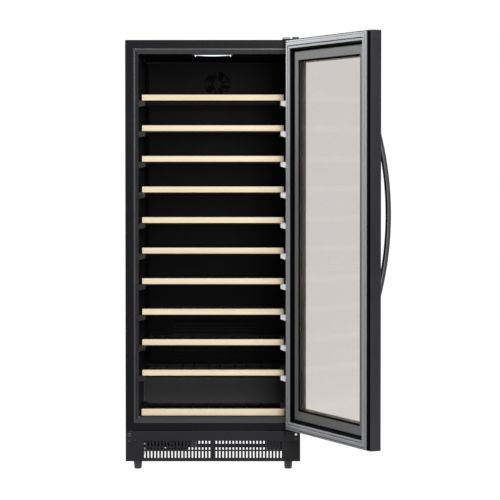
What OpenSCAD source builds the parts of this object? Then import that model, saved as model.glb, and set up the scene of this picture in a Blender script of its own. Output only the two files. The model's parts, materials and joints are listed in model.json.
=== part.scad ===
// Upright wine cooler: an insulated steel cabinet with a glazed door, eleven pull-out
// wire racks with timber fronts, and a fan-cooled machine space behind a slotted kick plate.
// X runs across the front, Y from the cabinet's front plane to its back, Z up from the floor.
// The origin is on the floor, under the middle of the cabinet's front plane.

/* [Cabinet] */
// Width over the steel wrap
cabinet_w = 595; // [580:1:610]
// Height from the floor to the top of the wrap
cabinet_h = 1462; // [1450:1:1500]
// Depth from the front plane to the back panel
cabinet_d = 575; // [570:1:620]
// Height of the levelling feet
foot_h = 28; // [24:1:32]
// Thickness of the insulated side and top walls
wall_t = 44.5; // [42:0.5:46]
// Thickness of the steel sheet of the wrap
sheet_t = 1.5; // [1:0.5:2]
// Width of the steel flange that the door seals on, at the sides
flange_w = 29; // [28:1:30]

/* [Door] */
// Angle the door stands open at
door_open = 114.4; // [0:0.1:118]
// Height of the door's bottom edge above the floor
door_z = 137; // [136:1:140]
// Depth of the door's metal frame
frame_d = 38.5; // [36:0.5:42]
// Width of the metal stiles and rails seen from the front
stile_w = 50; // [46:1:54]
// Distance from the door's edge to the see-through part of the glass
bezel_w = 80; // [78:1:90]
// Distance of the hinge pin from the side of the door
pin_inset = 17; // [16:0.5:18]
// Distance of the hinge pin in front of the cabinet's front plane
pin_reach = 34.2; // [33:0.1:36]

/* [Handle] */
// Height of the middle of the handle above the floor
handle_z = 880; // [700:10:1000]
// Outer radius of the bow
handle_r = 947; // [800:1:1200]
// How far the bow stands off the front of the door
handle_rise = 46.5; // [40:0.5:50]
// Distance of the handle's middle from the free edge of the door
handle_inset = 26; // [20:1:30]

/* [Racks] */
// Height step from one rack to the next
rack_pitch = 104.4; // [100:0.1:105]
// Height of the upper edge of the top rack's timber front
top_rack_z = 1279.5; // [1270:0.5:1290]
// Height of the upper edge of the bottom rack's timber front
bottom_rack_z = 205; // [204:0.5:212]
// Width of the timber fronts
board_w = 483; // [470:1:486]
// Height of the timber fronts
board_h = 22; // [18:1:24]
// Thickness of the timber fronts
board_t = 16; // [12:1:18]
// Bottles lying side by side on one rack
bottles_across = 5; // [4:1:5]
// Step from one bottle to the next
bottle_pitch = 93.7; // [90:0.1:96]

/* [Kick plate] */
// Height of the top edge of the kick plate
kick_top = 132; // [125:0.5:132]
// Slots in each half of a row
slots_per_half = 20; // [10:1:20]
// Step from one slot to the next
slot_pitch = 11.6; // [10:0.1:11.8]
// Width of a slot
slot_w = 5; // [3:0.5:6]

/* [Hidden] */
$fn = 64;
half_w = cabinet_w / 2;
inside_x = half_w - sheet_t;          // inner face of the wrap
cavity_x = half_w - wall_t;           // inner face of the liner's side walls
liner_t = 2;
lip_x = half_w - flange_w;            // inner edge of the wrap's flange
lip_top = cabinet_h - 25;
lip_bottom = 166;
bead_w = 5;                           // bead that edges the liner's mouth
bead_h = 1.2;
bead_lap = 1;                         // how far the bead laps over the flange
mouth_x = lip_x - bead_w;             // half width of the liner's mouth
mouth_top = lip_top - bead_w;
mouth_bottom = lip_bottom + bead_w;
mouth_run = 12;                       // depth of the sloped entry of the liner
ceiling_z = 1415;
floor_z = 179;
cavity_back = 528;
hump_y = 318;                         // foot of the step over the machine space
hump_run = 20;
hump_z = 285;
roof_z = 136;                         // underside of the foam at the front
roof_y = 340;                         // where the machine space's roof turns up
roof_rise_run = 20;
roof_high_z = 242;
panel_t = 1.2;                        // thin inner sheets
foam_back = cabinet_d - sheet_t;

seal_gap = 0.5;                       // from the closed gasket to the front plane
frame_back = 17.9;                    // the metal frame's rear face, from the front plane
frame_front = frame_back + frame_d;
door_top = cabinet_h - 0.5;
door_h = door_top - door_z;
skin_t = 2;                           // wall of the metal frame
ledge_y = 20.5;
pane_t = 4;
inner_pane_y = 22.5;
outer_pane_y = 44.5;                  // front face of the outer pane
pane_inset = 44;
spacer_inset = 48;
pin_x = half_w - pin_inset;
pin_r = 4;
bush_r = 6;
play = 0.05;                          // radial clearance of pins, studs and shafts

rack_count = 10;                      // full-depth racks; a short one lies under them
rail_x = cavity_x - 7;                // outer face of the sliding rails
rail_w = 13;
rail_h = 13.4;
tip_y = 38;                           // rear of the slanted tips of rails and channels
tip_gap = 0.6;                        // between a rail's tip and its channel's
weld_gap = 0.05;                      // between the rods, rails and front strip of a rack
rail_drop = 24.4;                     // from a rack's upper edge to its sliding rail
tip_drop = 22.3;                      // and to the tips of its rails
wire_drop = 20.6;                     // from a rack's upper edge to its lengthwise wires
rod_drop = 25;                        // and to its cross rods
bottom_lift = 16.4;                   // the bottom rack hangs this much higher in its rails
wire_r = 2;
rod_r = 3;
board_y = 25;
rack_back = 430;
bottom_rack_back = 300;
foot_x = 257;
runner_w = 30;
runner_in = foot_x - runner_w / 2;    // inner face of the side runners
foot_front_y = 30;
foot_rear_y = 535;
fan_x = -160;
fan_y = 96;
fan_z = 92;
evap_fan_x = 8;
evap_fan_z = 1330;
compressor_x = -150;
compressor_y = 440;
pot_r = 74;
pipe_z = 106;                         // height of the pipe to the condenser
rise_z = 150;                         // and of the one up into the foam
stub = 2;                             // brazed collars of the compressor's pipes
tray_z = 37.2;                        // top of the base plate
kick_t = 2.5;
side_fold = 17;                       // width of the wrap's folds behind the kick plate's ends
stud_r = 5;
hinge_screw_z = [105, 121];
hinge_screw_x = 283;
top_screw_y = [14, 46];
shaft_r = 2;
lamp_x = 0;
lamp_w = 126;
lamp_y = 30;
lamp_d = 36;
duct_x = 240;
duct_y = 484;

function rack_z(i) = i <= rack_count ? top_rack_z - rack_pitch * (i - 1) : bottom_rack_z;
function rack_depth(i) = i <= rack_count ? rack_back : bottom_rack_back;
function rack_lift(i) = i <= rack_count ? 0 : bottom_lift;
function rail_front(i) = i <= rack_count ? tip_y : board_y + board_t;

// ---- Shared shapes ----

// Extrudes an outline drawn in X and Z along Y.
module along_y(y0, y1) {
    translate([0, y1, 0]) rotate([90, 0, 0]) linear_extrude(y1 - y0) children();
}

// Extrudes an outline drawn in Y and Z along X.
module along_x(x0, x1) {
    translate([x0, 0, 0]) rotate([90, 0, 90]) linear_extrude(x1 - x0) children();
}

// A rod between two points on a line parallel to X.
module rod_x(x0, x1, y, z, r) {
    translate([x0, y, z]) rotate([0, 90, 0]) cylinder(r = r, h = x1 - x0);
}

// A rod parallel to Y.
module rod_y(x, y0, y1, z, r) {
    translate([x, y0, z]) rotate([-90, 0, 0]) cylinder(r = r, h = y1 - y0);
}

// A rectangle with round corners, about the origin.
module round_rect(w, h, r) {
    square([w - 2 * r, h], center = true);
    square([w, h - 2 * r], center = true);
    for (x = [-1, 1], y = [-1, 1])
        translate([x * (w / 2 - r), y * (h / 2 - r)]) circle(r = r);
}

// An upright outline with a flat bottom and round upper corners.
module arch(w, z0, z1, r) {
    translate([-w / 2, z0]) square([w, z1 - z0 - r]);
    translate([-w / 2 + r, z1 - 2 * r]) square([w - 2 * r, 2 * r]);
    for (x = [-1, 1]) translate([x * (w / 2 - r), z1 - r]) circle(r = r);
}

// ---- Cabinet ----

// The space of the liner: straight walls behind a mouth that opens out to the front.
module liner_space(grow, front) {
    intersection() {
        linear_extrude(cabinet_h) polygon([
            [-mouth_x - grow, front], [mouth_x + grow, front], [mouth_x + grow, 0],
            [cavity_x + grow, mouth_run], [cavity_x + grow, cavity_back + grow],
            [-cavity_x - grow, cavity_back + grow], [-cavity_x - grow, mouth_run],
            [-mouth_x - grow, 0]]);
        along_x(-half_w, half_w) polygon([
            [front, mouth_bottom - grow], [0, mouth_bottom - grow],
            [mouth_run, floor_z - grow], [hump_y + grow, floor_z - grow],
            [hump_y + hump_run + grow, hump_z - grow], [cavity_back + grow, hump_z - grow],
            [cavity_back + grow, ceiling_z + grow], [mouth_run, ceiling_z + grow],
            [0, mouth_top + grow], [front, mouth_top + grow]]);
    }
}

// Folded steel wrap of the two sides and the top, with the flange the door seals on.
module outer_shell() {
    color("#232327") {
        along_y(0, cabinet_d) difference() {
            arch(cabinet_w, foot_h, cabinet_h, 3);
            translate([-inside_x, 0]) square([2 * inside_x, cabinet_h - sheet_t]);
        }
        along_y(0, sheet_t) difference() {
            arch(cabinet_w, kick_top + 1.5, cabinet_h, 3);
            translate([-lip_x, lip_bottom]) square([2 * lip_x, lip_top - lip_bottom]);
        }
        translate([-inside_x, sheet_t, roof_z - panel_t - sheet_t])
            cube([2 * inside_x, 20, sheet_t]);
        for (x = [-half_w, half_w - side_fold])
            translate([x, 0, foot_h]) cube([side_fold, sheet_t, kick_top + 3 - foot_h]);
        for (side = [-1, 1]) difference() {
            translate([side * (inside_x + runner_in) / 2 - (inside_x - runner_in) / 2, 0, foot_h])
                cube([inside_x - runner_in, cabinet_d, sheet_t]);
            for (y = [foot_front_y, foot_rear_y])
                translate([side * foot_x, y, foot_h - 1]) cylinder(r = 7, h = 4);
        }
    }
}

module back_panel() {
    color("#2b2b2f") {
        translate([-inside_x, foam_back, roof_high_z - panel_t])
            cube([2 * inside_x, sheet_t, cabinet_h - sheet_t - roof_high_z + panel_t]);
        for (x = [-180, -60, 60, 180]) translate([x, cabinet_d, 300]) intersection() {
            translate([-20, -0.5, 0]) cube([40, 3, 1100]);
            translate([0, -6, 0]) cylinder(r = 8, h = 1100);
        }
    }
}

// Foam between the wrap and the liner, with the machine space left clear below.
module insulation() {
    color("#e6dcae") difference() {
        along_x(-inside_x, inside_x) polygon([
            [sheet_t, roof_z], [roof_y, roof_z], [roof_y + roof_rise_run, roof_high_z],
            [foam_back, roof_high_z], [foam_back, cabinet_h - sheet_t],
            [sheet_t, cabinet_h - sheet_t]]);
        liner_space(liner_t, -1);
    }
}

// Liner with a raised bead round its mouth that laps over the edge of the flange.
module inner_liner() {
    color("#17171a") difference() {
        union() {
            liner_space(liner_t, 0);
            along_y(-bead_h, sheet_t) translate([-lip_x, lip_bottom])
                square([2 * lip_x, lip_top - lip_bottom]);
            along_y(-bead_h, 0) translate([-lip_x - bead_lap, lip_bottom - bead_lap])
                square([2 * (lip_x + bead_lap), lip_top - lip_bottom + 2 * bead_lap]);
        }
        liner_space(0, -bead_h - 1);
    }
}

// Steel sheet that closes the foam above the machine space.
module step_panel() {
    color("#8d9094") along_x(-inside_x, inside_x) polygon([
        [sheet_t, roof_z], [roof_y, roof_z], [roof_y + roof_rise_run, roof_high_z],
        [foam_back, roof_high_z], [foam_back, roof_high_z - panel_t],
        [roof_y + roof_rise_run + panel_t, roof_high_z - panel_t],
        [roof_y + panel_t, roof_z - panel_t], [sheet_t, roof_z - panel_t]]);
}

// Galvanised tray that carries the compressor, open in the middle for the air.
module base_plate() {
    plate_z = 36;
    opening_x = -63;
    color("#a5a8ab") {
        difference() {
            translate([-runner_in, 300, plate_z]) cube([2 * runner_in, 260, panel_t]);
            translate([opening_x, 312, plate_z - 1]) cube([250, 236, 5]);
        }
        translate([opening_x, 300, plate_z]) cube([runner_in - 20 - opening_x, panel_t, 13]);
        for (x = [-runner_in, runner_in - panel_t])
            translate([x, 300, plate_z]) cube([panel_t, 260, 9]);
    }
}

// Channels along both sides of the base, with weld nuts for the feet.
module side_runners() {
    nut_h = 13;
    color("#8d9094") for (side = [-1, 1]) translate([side * foot_x, 0, foot_h + sheet_t]) difference() {
        union() {
            translate([-runner_w / 2, 0, 0]) difference() {
                cube([runner_w, cabinet_d, 16]);
                translate([2, -1, 3]) cube([runner_w - 4, cabinet_d + 2, 20]);
            }
            for (y = [foot_front_y, foot_rear_y]) translate([0, y, 0]) cylinder(r = 9, h = nut_h);
        }
        for (y = [foot_front_y, foot_rear_y])
            translate([0, y, -1]) cylinder(r = stud_r + play, h = nut_h + 2);
    }
}

// Slotted steel plate across the front of the machine space, its top edge folded back.
module kick_grille() {
    slot_rows = [[40, 63], [68, 98]];
    corner_r = 8;
    fold_x = half_w - 1 - corner_r;
    lip_end = half_w - side_fold - 1;
    lip_d = 17;
    color("#242428") {
        along_y(-kick_t, 0) difference() {
            union() {
                translate([0, (foot_h + 0.5 + kick_top - kick_t) / 2])
                    round_rect(cabinet_w - 2, kick_top - kick_t - foot_h - 0.5, corner_r);
                translate([-fold_x, kick_top - 2 * kick_t]) square([2 * fold_x, kick_t]);
            }
            for (i = [1 : slots_per_half], side = [-1, 1], row = slot_rows)
                translate([side * i * slot_pitch - slot_w / 2, row[0]])
                    square([slot_w, row[1] - row[0]]);
        }
        along_x(-fold_x, fold_x) intersection() {
            translate([0, kick_top - kick_t]) circle(r = kick_t);
            translate([-kick_t, kick_top - kick_t]) square(kick_t);
        }
        translate([-lip_end, 0, kick_top - kick_t]) cube([2 * lip_end, lip_d, kick_t]);
    }
}

// Steel plate over the cabinet's top that holds the upper hinge pin.
module hinge_top() {
    color("#b9bcc0") {
        difference() {
            translate([0, 0, cabinet_h]) linear_extrude(3) {
                translate([236, -22]) square([56, 82]);
                translate([pin_x - 11.5, -pin_reach]) square([23, 30]);
                translate([pin_x, -pin_reach]) circle(r = 11.5);
            }
            for (y = top_screw_y) translate([276, y, cabinet_h - 1]) cylinder(r = 2.6, h = 6);
        }
        translate([238, 3, cabinet_h + 3]) cube([25, 40, 7]);
        translate([pin_x, -pin_reach, cabinet_h - 22]) cylinder(r = pin_r, h = 23);
    }
    color("#1b1b1d") translate([pin_x, -pin_reach, cabinet_h + 3]) cylinder(r = 11, h = 8);
}

// Angle bracket under the door's lower corner, with its pin and thrust washer.
module hinge_bottom() {
    plate_top = door_z - 2.5;
    plate_t = 3.5;
    leg_x = 246;
    leg_w = 50;
    leg_z = 98;
    nose_y = 12;
    color("#1f1f22") {
        difference() {
            translate([leg_x, -kick_t - 3, leg_z]) cube([leg_w, 3, plate_top - leg_z]);
            for (z = hinge_screw_z)
                translate([hinge_screw_x, 0, z]) rotate([90, 0, 0]) cylinder(r = 2.6, h = 20);
        }
        translate([0, 0, plate_top - plate_t]) linear_extrude(plate_t) {
            translate([leg_x, -pin_reach]) square([leg_w, pin_reach - kick_t]);
            translate([leg_x + nose_y, -pin_reach - nose_y]) square([leg_w - nose_y, nose_y + 1]);
            translate([leg_x + nose_y, -pin_reach]) circle(r = nose_y);
        }
    }
    color("#c8cacd") translate([pin_x, -pin_reach, plate_top - plate_t]) {
        cylinder(r = pin_r, h = 26);
        cylinder(r = 8, h = 5);
    }
}

// Screws of both hinges, and the plugs in the spare holes on the other side.
module hinge_screws() {
    color("#c8cacd") {
        for (z = hinge_screw_z) translate([hinge_screw_x, -kick_t, z]) rotate([90, 0, 0]) {
            cylinder(r = 2.5, h = 3);
            translate([0, 0, 3]) cylinder(r = 4.5, h = 2);
        }
        for (y = top_screw_y) translate([276, y, cabinet_h]) {
            cylinder(r = 2.5, h = 3);
            translate([0, 0, 3]) cylinder(r = 4.5, h = 2);
        }
    }
    color("#2b2b2f") for (plug = [[-284.5, 118.5, 6], [-285, 98, 4.5], [-265, 101, 2.5]])
        translate([plug[0], -kick_t, plug[1]]) rotate([90, 0, 0]) cylinder(r = plug[2], h = 1.5);
}

// ---- Inside the cabinet ----

// Black rim of the ceiling lamp, with the light strip inside it.
module lamp_housing() {
    color("#141416") translate([lamp_x - lamp_w / 2 - 5, lamp_y - 5, ceiling_z - 3]) difference() {
        cube([lamp_w + 10, lamp_d + 10, 3]);
        translate([5, 5, -1]) cube([lamp_w, lamp_d, 5]);
    }
    color("#e8e8e0") translate([lamp_x - lamp_w / 2 + 4, lamp_y + 12, ceiling_z - 2])
        cube([lamp_w - 8, lamp_d - 24, 2]);
}

// Clear cover of the lamp, a trough with round lower edges.
module lamp_lens() {
    color("#f4f6fa") difference() {
        lens_block(lamp_w, lamp_d, 9, 4);
        lens_block(lamp_w - 3, lamp_d - 3, 7.5, 2.5);
    }
}

module lens_block(w, d, h, r) {
    intersection() {
        along_x(lamp_x - w / 2, lamp_x + w / 2)
            translate([lamp_y + lamp_d / 2, ceiling_z]) round_rect(d, 2 * h, r);
        translate([lamp_x - w, 0, ceiling_z - h]) cube([2 * w, 200, h]);
    }
}

// Moulded cover over the evaporator, with a round fan grille and return-air slots.
module duct_cover() {
    cover_z = 320;
    cover_h = ceiling_z - 10 - cover_z;
    color("#151518") difference() {
        translate([-duct_x, duct_y, cover_z]) cube([2 * duct_x, cavity_back - duct_y, cover_h]);
        translate([-duct_x + 3, duct_y + 3, cover_z + 3])
            cube([2 * duct_x - 6, cavity_back, cover_h - 6]);
        for (r = [16 : 8 : 40], a = [0 : 90 : 270]) translate([evap_fan_x, duct_y - 1, evap_fan_z])
            rotate([-90, 0, 0]) rotate([0, 0, a + 8]) rotate_extrude(angle = 74)
                translate([r, 0]) square([5, 6]);
        for (z = [350 : 12 : 470]) translate([-150, duct_y - 1, z]) cube([300, 5, 5]);
    }
}

// Finned coil behind the duct cover.
module evaporator() {
    coil_x = 199;
    color("#b9bcc0") {
        for (x = [-190 : 20 : 190]) translate([x, 494, 800]) cube([0.8, 30, 300]);
        for (x = [-coil_x, coil_x - 1]) translate([x, 494, 800]) cube([1, cavity_back - 494, 300]);
        for (z = [840 : 55 : 1060]) rod_x(-coil_x, coil_x, 508, z, 4);
    }
}

module evaporator_fan_motor() {
    color("#2e2e32") translate([evap_fan_x, cavity_back, evap_fan_z]) rotate([90, 0, 0]) difference() {
        union() {
            cylinder(r = 17, h = 18);
            cylinder(r = 26, h = 2);
        }
        translate([0, 0, 9]) cylinder(r = shaft_r + play, h = 20);
    }
}

// Channels screwed to the liner's side walls, two for each rack.
module rack_rails() {
    channel_w = cavity_x - rail_x + 8;
    color("#b4b7ba") for (i = [1 : rack_count + 1], side = [0, 1]) mirror([side, 0, 0]) {
        along_y(rail_front(i) + 3, rack_depth(i) + 8)
            translate([rail_x - 8, rack_z(i) + rack_lift(i) - rail_drop]) difference() {
                translate([0, -rail_h - 2.1]) square([channel_w, rail_h + 4.2]);
                translate([-1, -rail_h - 0.4]) square([channel_w - 1.5, rail_h + 0.8]);
            }
        if (i <= rack_count) rail_tip(i, rail_x + tip_gap, cavity_x, rail_front(i) + 3);
    }
}

// The stretch from x0 to x1 of the slanted tip that rail i and its channel show the front.
module rail_tip(i, x0, x1, back_y) {
    tip_x = 231;
    tip_w = cavity_x - tip_x;
    intersection() {
        translate([0, 0, rack_z(i) - 50]) linear_extrude(50)
            polygon([[tip_x, tip_y - 2], [cavity_x, tip_y - 12], [cavity_x, back_y], [tip_x, back_y]]);
        along_y(0, 100) translate([tip_x, rack_z(i) - tip_drop])
            polygon([[0, 0], [tip_w, 0], [tip_w, -tip_w], [0, -16]]);
        translate([x0, 0, 0]) cube([x1 - x0, 100, cabinet_h]);
    }
}

// ---- Machine space ----

// Finned condenser behind the left half of the kick plate, hung from the panel over it.
module condenser() {
    color("#1c1c1f") translate([0, 30, 0]) {
        for (x = [-232 : 8 : -88]) translate([x, 0, 62]) cube([0.8, 40, 64]);
        for (x = [-240, -79.2]) translate([x, 0, 60]) cube([1.2, 40, roof_z - panel_t - 60]);
        for (z = [74, 90, 106], y = [12, 28]) rod_x(-240, -78, y, z, 4);
    }
}

// Square frame of the condenser fan, with its motor held on three arms.
module fan_shroud() {
    shroud_h = 72;
    shroud_w = 148;
    color("#1c1c1f") translate([fan_x, fan_y, fan_z]) {
        rotate([-90, 0, 0]) {
            difference() {
                translate([-shroud_w / 2, -shroud_h / 2, -14]) cube([shroud_w, shroud_h, 28]);
                translate([0, 0, -15]) cylinder(r = 34, h = 30);
            }
            for (a = [30 : 120 : 270]) rotate([0, 0, a]) translate([11, -2, 10]) cube([24, 4, 4]);
            translate([0, 0, 4]) difference() {
                cylinder(r = 13, h = 10);
                translate([0, 0, -1]) cylinder(r = shaft_r + play, h = 9);
            }
        }
        for (x = [-46, 36]) translate([x, -10, shroud_h / 2])
            cube([10, 20, roof_z - panel_t - fan_z - shroud_h / 2]);
    }
}

// Axial fan rotor: a hub on its shaft with five pitched blades.
module fan_rotor(r, hub_r, depth) {
    chord = r / 1.3;
    cylinder(r = hub_r, h = depth);
    cylinder(r = shaft_r, h = depth + 7);
    for (a = [0 : 72 : 288]) rotate([0, 0, a]) intersection() {
        translate([hub_r - 3, 0, depth / 2]) rotate([35, 0, 0])
            translate([0, -chord / 2, -0.8]) cube([r - hub_r + 3, chord, 1.6]);
        cylinder(r = r, h = depth);
    }
}

module condenser_fan() {
    color("#2e2e32") translate([fan_x, fan_y - 11, fan_z]) rotate([-90, 0, 0]) fan_rotor(32, 12, 14);
}

module evaporator_fan() {
    color("#2e2e32") translate([evap_fan_x, cavity_back - 36, evap_fan_z])
        rotate([-90, 0, 0]) fan_rotor(44, 16, 16);
}

// Hermetic compressor: a welded pot on a foot plate with four rubber grommets.
module compressor() {
    pot_h = 155;
    pot_z = 50;
    color("#151517") translate([compressor_x, compressor_y, 0]) {
        translate([0, 0, pot_z]) rotate_extrude() {
            intersection() {
                translate([0, pot_h / 2]) round_rect(2 * pot_r, pot_h, 28);
                square([pot_r, pot_h]);
            }
            translate([0, pot_h / 2]) square([pot_r + 3, 6]);
        }
        difference() {
            translate([-68, -90, 62]) cube([136, 180, 3]);
            translate([0, 0, 60]) cylinder(r = pot_r - 10, h = 10);
        }
        for (x = [-54, 54], y = [-74, 74]) translate([x, y, tray_z]) {
            cylinder(r = 12, h = 62 - tray_z);
            cylinder(r = 6, h = 32);
        }
        translate([pot_r - 6, -22, 92]) cube([32, 44, 50]);
        translate([-pot_r - stub, 0, pipe_z]) rotate([0, 90, 0]) cylinder(r = 6, h = stub + 4);
        translate([0, pot_r - 4, rise_z]) rotate([-90, 0, 0]) cylinder(r = 6, h = stub + 4);
    }
}

// Evaporation tray on top of the compressor.
module drip_tray() {
    color("#2b2b2f") translate([compressor_x, compressor_y, 205]) difference() {
        translate([-80, -70, 0]) cube([160, 140, 22]);
        translate([-78, -68, 2]) cube([156, 136, 22]);
    }
}

// Copper pipes from the compressor, to the condenser and up into the foam.
module refrigerant_pipes() {
    side_x = -239.4;
    bend = 12;
    rise_y = 520;
    color("#a8663a") {
        rod_x(side_x + bend, compressor_x - pot_r - stub, compressor_y, pipe_z, 4);
        translate([side_x + bend, compressor_y - bend, pipe_z]) rotate([0, 0, 90]) pipe_bend(bend);
        rod_y(side_x, 70, compressor_y - bend, pipe_z, 4);
        rod_y(compressor_x, compressor_y + pot_r + stub, rise_y, rise_z, 4);
        translate([compressor_x, rise_y, rise_z + bend]) rotate([90, 0, 90]) rotate([0, 0, -90])
            pipe_bend(bend);
        translate([compressor_x, rise_y + bend, rise_z + bend])
            cylinder(r = 4, h = roof_high_z - panel_t - rise_z - bend);
    }
}

module pipe_bend(bend) {
    rotate_extrude(angle = 90) translate([bend, 0]) circle(r = 4);
}

// Closed box for the controller, hung from the panel on the right.
module control_box() {
    color("#1b1b1d") {
        translate([184, 60, 60]) cube([84, 140, 62]);
        for (y = [66, 186]) translate([190, y, 122]) cube([72, 8, roof_z - panel_t - 122]);
    }
}

// Recessed appliance inlet at the lower back edge.
module power_inlet() {
    color("#1b1b1d") translate([190, cabinet_d - 45, tray_z]) {
        difference() {
            cube([46, 40, 30]);
            translate([9, 22, 5]) cube([28, 20, 20]);
        }
        for (pin = [[14, 9], [30, 9], [22, 16]]) translate([pin[0], 21, pin[1]]) cube([2, 14, 5]);
    }
}

// ---- Door ----

// Turns what is drawn on the closed door to where the door stands open.
module opened() {
    translate([pin_x, -pin_reach, 0]) rotate([0, 0, door_open])
        translate([-pin_x, pin_reach, 0]) children();
}

// Runs a section round the door with mitred corners. In the section, x is the distance in
// from the door's edge and y the distance in front of the cabinet's front plane.
module door_ring() {
    mid_z = (door_z + door_top) / 2;
    for (side = [0, 1]) mirror([side, 0, 0]) intersection() {
        translate([-half_w, 0, door_z]) linear_extrude(door_h) mirror([0, 1]) children();
        along_y(-100, 0) polygon([[-half_w, door_z], [0, door_z + half_w],
            [0, door_top - half_w], [-half_w, door_top]]);
    }
    for (side = [0, 1]) translate([0, 0, mid_z]) mirror([0, 0, side]) translate([0, 0, -mid_z])
        intersection() {
            along_x(-half_w, half_w) translate([0, door_z]) rotate(90) children();
            along_y(-100, 0) polygon([[-half_w, door_z], [half_w, door_z], [0, door_z + half_w]]);
        }
}

// Extruded metal ring of the door, with a round outer front corner.
module door_frame() {
    corner_r = 3.5;
    color("#4a4a50") opened() difference() {
        door_ring() difference() {
            union() {
                translate([0, frame_back]) square([stile_w, frame_d - corner_r]);
                translate([corner_r, frame_back]) square([stile_w - corner_r, frame_d]);
                translate([corner_r, frame_front - corner_r]) circle(r = corner_r);
            }
            translate([skin_t, frame_back + skin_t])
                square([stile_w - 2 * skin_t, frame_d - 2 * skin_t]);
            translate([12, frame_back - 1]) square([stile_w, 10]);
            translate([stile_w - skin_t - 1, frame_back]) square([stile_w, outer_pane_y - frame_back]);
        }
        translate([pin_x, -pin_reach, door_z - 1]) cylinder(r = bush_r + play, h = skin_t + 2);
        translate([pin_x, -pin_reach, door_top - skin_t - 1])
            cylinder(r = bush_r + play, h = skin_t + 2);
    }
}

// Moulded inner ring: the channel that holds the gasket, the flat ledge and the glazing bead.
module door_liner() {
    color("#161618") opened() door_ring() difference() {
        union() {
            translate([3, 7]) square([33, frame_back - 7]);
            translate([33.5, ledge_y]) square([bezel_w - 6 - 33.5, inner_pane_y - ledge_y]);
            translate([33.5, frame_back]) square([2.5, inner_pane_y - frame_back]);
            translate([60, ledge_y + 0.8]) square([bezel_w - 60, inner_pane_y - ledge_y - 0.8]);
        }
        translate([5.5, 9.5]) square([28, frame_back - 11.5]);
        translate([16, 6]) square([2, 5]);
    }
}

// Magnetic gasket: a hollow bellows held by a barbed dart.
module gasket() {
    color("#8a8d94") opened() door_ring() difference() {
        union() {
            polygon([[4.5, 7], [4.5, 3.2], [13.3, seal_gap], [21.2, seal_gap], [30, 3.2], [30, 7]]);
            translate([16, 6]) square([2, 4]);
            polygon([[14.8, 9.5], [19.2, 9.5], [17.6, 12.5], [16.4, 12.5]]);
        }
        polygon([[6, 5.8], [6, 4.3], [13.6, 2], [20.9, 2], [28.5, 4.3], [28.5, 5.8]]);
    }
}

// A rectangular sheet in the door, set in from its edges.
module door_sheet(inset, front_y, back_y) {
    translate([-half_w + inset, -front_y, door_z + inset])
        cube([cabinet_w - 2 * inset, front_y - back_y, door_h - 2 * inset]);
}

module outer_pane() {
    color("#b9b6b2", 0.5) opened() door_sheet(pane_inset, outer_pane_y, outer_pane_y - pane_t);
}

module inner_pane() {
    color("#b9b6b2", 0.5) opened() door_sheet(pane_inset, inner_pane_y + pane_t, inner_pane_y);
}

// Bar that keeps the two panes apart.
module spacer() {
    color("#6d6a67") opened() difference() {
        door_sheet(spacer_inset, outer_pane_y - pane_t, inner_pane_y + pane_t);
        door_sheet(spacer_inset + 12, outer_pane_y, inner_pane_y);
    }
}

// Section of the handle's bar, a soft-cornered oval.
function bar_point(a, w, h) = [w / 2 * sign(cos(a)) * pow(abs(cos(a)), 0.7),
    h / 2 * sign(sin(a)) * pow(abs(sin(a)), 0.7)];

// Bow handle, bent to a large arc and cut flush with the front of the door.
module handle() {
    bar_w = 16;
    bar_t = 15;
    half_angle = 18.5;
    color("#3a3a40") opened() intersection() {
        translate([-half_w + handle_inset, -frame_front - handle_rise + handle_r, handle_z])
            rotate([0, 90, 0]) rotate([0, 0, -90 - half_angle])
                rotate_extrude(angle = 2 * half_angle, $fn = 480) translate([handle_r - bar_t / 2, 0])
                    polygon([for (k = [0 : 19]) bar_point(9 + 18 * k, bar_t, bar_w)]);
        translate([-half_w, -frame_front - 100, door_z]) cube([100, 100, door_h]);
    }
}

// Nylon blocks in the frame's hinge-side corners, bored for the pins.
module hinge_bushes() {
    block_h = 25;
    block_y = frame_back + skin_t;
    color("#d8d8d2") opened() for (side = [0, 1]) {
        block_z = side == 0 ? door_z + skin_t : door_top - skin_t - block_h;
        neck_z = side == 0 ? door_z - 0.9 : door_top - skin_t - 1;
        difference() {
            union() {
                translate([half_w - 30, -block_y - 28, block_z]) cube([28, 28, block_h]);
                translate([pin_x, -pin_reach, neck_z]) cylinder(r = bush_r, h = skin_t + 1);
            }
            translate([pin_x, -pin_reach, block_z - 5]) cylinder(r = pin_r + play, h = block_h + 10);
        }
    }
}

// ---- Feet and racks ----

// Levelling foot with its stud.
module foot(side, y) {
    color("#1c1c1e") translate([side * foot_x, y, 0]) {
        rotate_extrude() polygon([[0, 0], [10.5, 0], [12.5, 2], [14.5, foot_h - 0.5],
            [0, foot_h - 0.5]]);
        translate([0, 0, foot_h - 1]) cylinder(r = stud_r, h = 16);
    }
}

// Timber front of rack i, with its edges rounded.
module rack_front(i) {
    w = i <= rack_count ? board_w : board_w + 5;
    h = i <= rack_count ? board_h : board_h + 2;
    color("#e0c59c") along_x(-w / 2, w / 2)
        translate([board_y + board_t / 2, rack_z(i) - h / 2]) round_rect(board_t, h, 2);
}

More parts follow.
